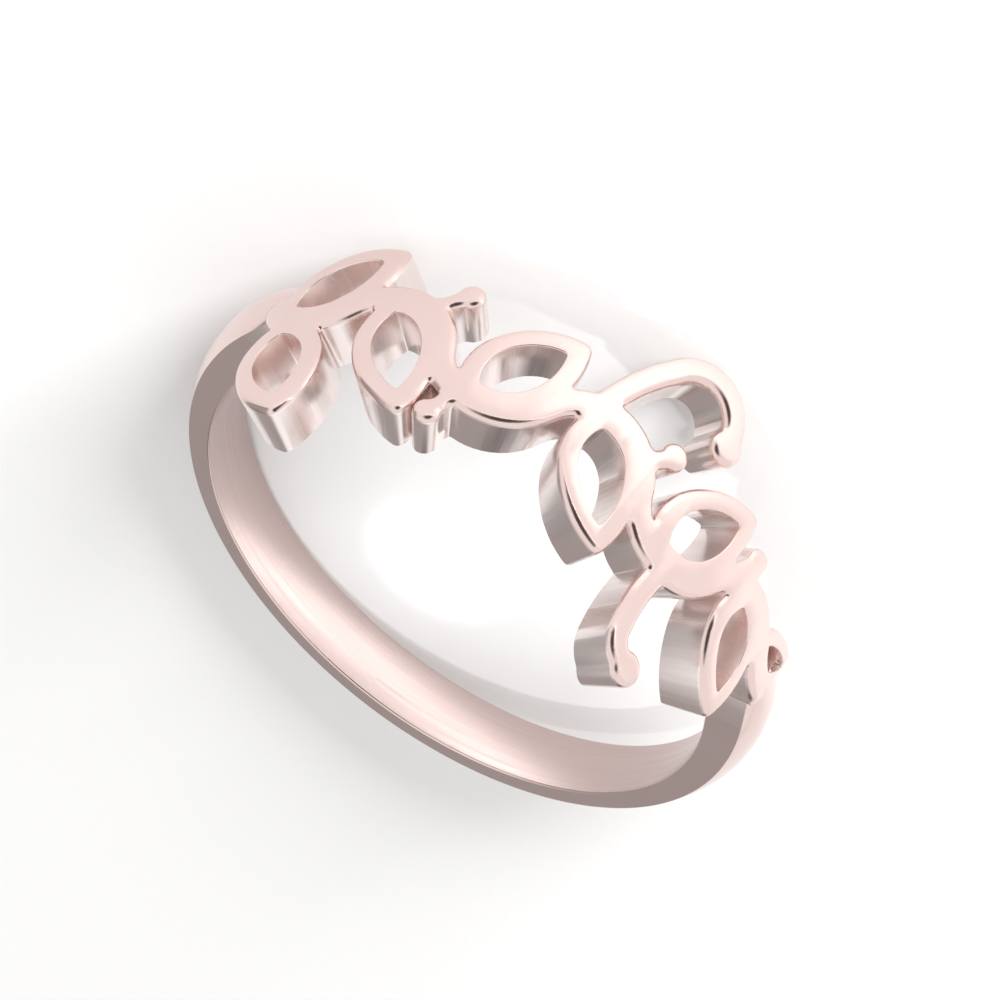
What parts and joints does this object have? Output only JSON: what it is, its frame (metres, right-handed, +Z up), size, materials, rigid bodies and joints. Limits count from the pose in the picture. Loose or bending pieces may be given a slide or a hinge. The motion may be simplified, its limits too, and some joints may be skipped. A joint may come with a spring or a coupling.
{
  "type": "finger ring with openwork vine front",
  "caption": "Polished rose gold finger ring whose front is a pierced vine with leaves, tendrils and buds, on a slim domed shank.",
  "frame": {"origin": "middle of the box's underside, on the surface that the ring lies on", "axes": "+Z up; the openwork front faces -Y; the finger's axis leans 10.6 degrees from +Z because the ring rests on a tendril and the back of its shank"},
  "size_m": [0.0198, 0.02, 0.0098],
  "materials": {
    "rose_gold": "mirror polished rose gold plate on silver"
  },
  "bodies": {
    "root": {"ring": "rose_gold"}
  },
  "joints": []
}
